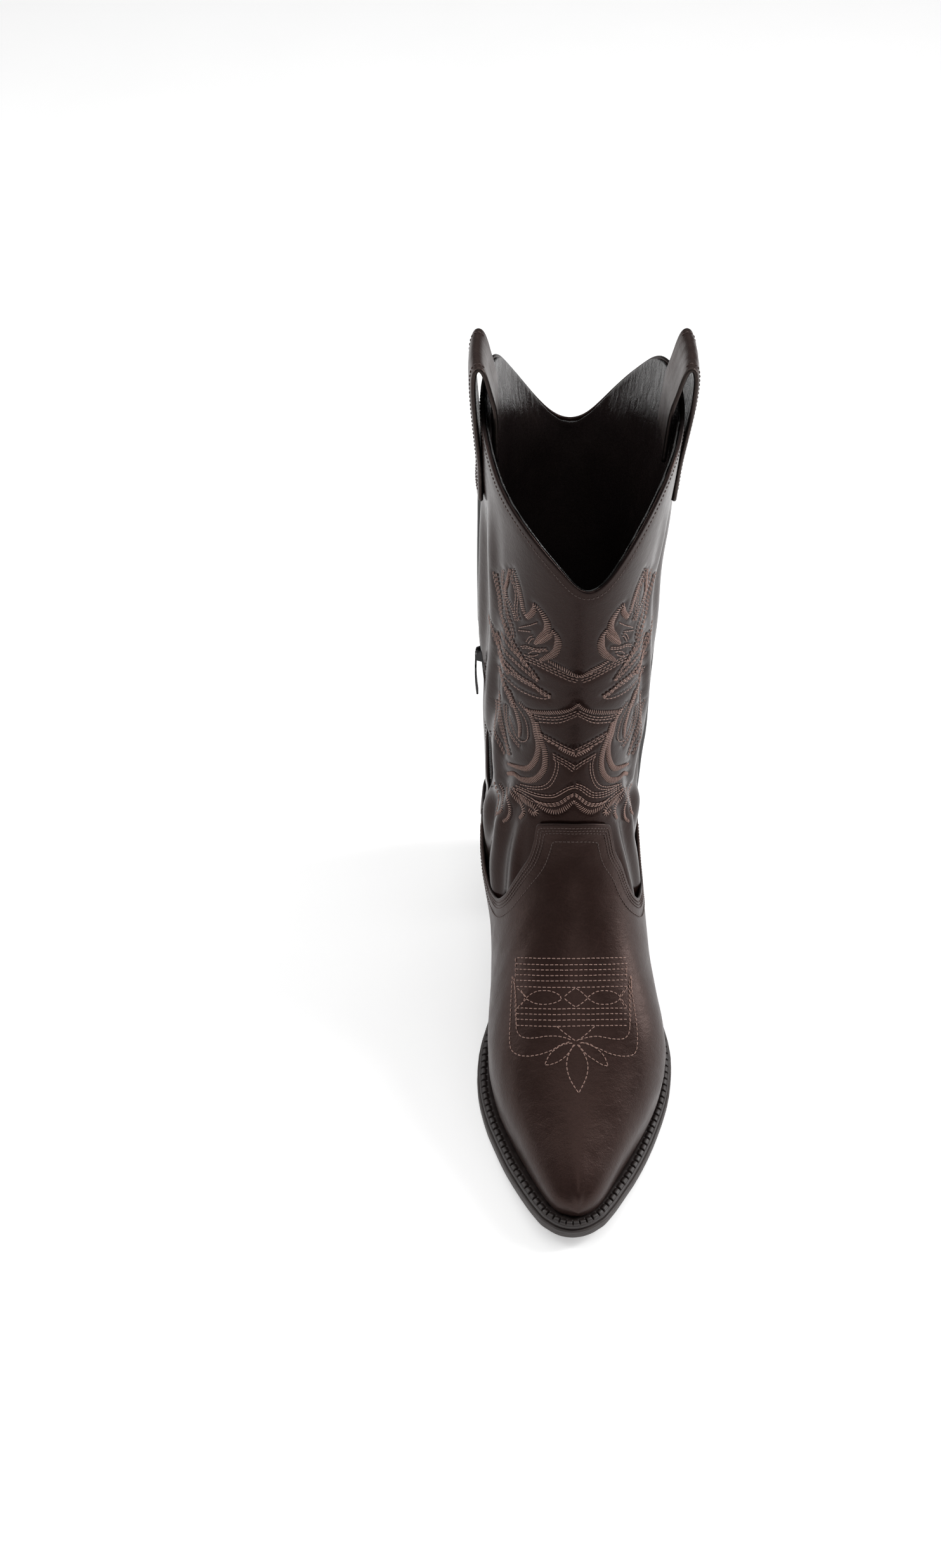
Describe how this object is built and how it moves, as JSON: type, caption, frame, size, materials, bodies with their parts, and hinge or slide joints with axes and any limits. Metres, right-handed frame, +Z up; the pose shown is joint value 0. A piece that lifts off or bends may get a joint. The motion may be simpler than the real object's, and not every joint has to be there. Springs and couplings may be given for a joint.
{
  "type": "cowboy boot",
  "caption": "Mid-calf western boot with pointed toe, scooped top line, tongued vamp, inner side zip, pull straps and a block heel.",
  "frame": {"origin": "centre of the bounding box's base, on the ground plane that the heel and the ball of the sole stand on", "axes": "+Z up, the toe points to -Y, +X is the outer (lateral) side and -X the inner side with the zip"},
  "size_m": [0.1084, 0.2906, 0.3727],
  "materials": {
    "brown_leather": "semi-matt grained leather",
    "black_leather": "smooth glossy lining leather",
    "tan_lining": "unfinished lining leather",
    "zip_tape": "woven tape",
    "zip_coil": "moulded teeth",
    "zip_metal": "black painted die-cast metal",
    "stiffener": "impregnated fibre sheet",
    "insole_fibre": "pressed fibre board",
    "cork": "ground cork",
    "sole_rubber": "matt dark rubber",
    "welt_rubber": "matt dark welt strip",
    "heel_block": "stacked-leather look",
    "steel": "plain steel"
  },
  "bodies": {
    "boot": {"vamp": "brown_leather", "counter": "brown_leather", "shaft_front": "brown_leather", "shaft_back": "brown_leather", "pull_strap_lateral": "brown_leather", "pull_strap_medial": "brown_leather", "side_piping_lateral": "black_leather", "side_piping_medial": "black_leather", "shaft_lining_front": "black_leather", "shaft_lining_back": "black_leather", "sock_liner": "black_leather", "zip_guard": "black_leather", "vamp_lining": "tan_lining", "heel_lining": "tan_lining", "toe_puff": "stiffener", "heel_stiffener": "stiffener", "insole_board": "insole_fibre", "shank": "steel", "forepart_filler": "cork", "welt": "welt_rubber", "outsole": "sole_rubber", "heel_stack": "heel_block", "heel_cap": "sole_rubber", "heel_nail_1": "steel", "heel_nail_2": "steel", "heel_nail_3": "steel", "heel_nail_4": "steel", "zip_tape_front": "zip_tape", "zip_tape_back": "zip_tape", "zip_teeth_front": "zip_coil", "zip_teeth_back": "zip_coil", "zip_top_stop_front": "zip_metal", "zip_top_stop_back": "zip_metal", "zip_bottom_stop": "zip_metal"},
    "slider": {"zip_slider": "zip_metal"},
    "pull": {"zip_pull": "zip_metal"}
  },
  "joints": [
    {"name": "zip_slide", "type": "slide", "parent": "boot", "child": "slider", "axis": [0.0337, -0.0709, -0.9969], "range_m": [0, 0.073]},
    {"name": "pull_hinge", "type": "hinge", "parent": "slider", "child": "pull", "pos_m": [-0.0482, 0.06957, 0.2009], "axis": [0, 0.9975, -0.0709], "range_deg": [0, 150]}
  ]
}
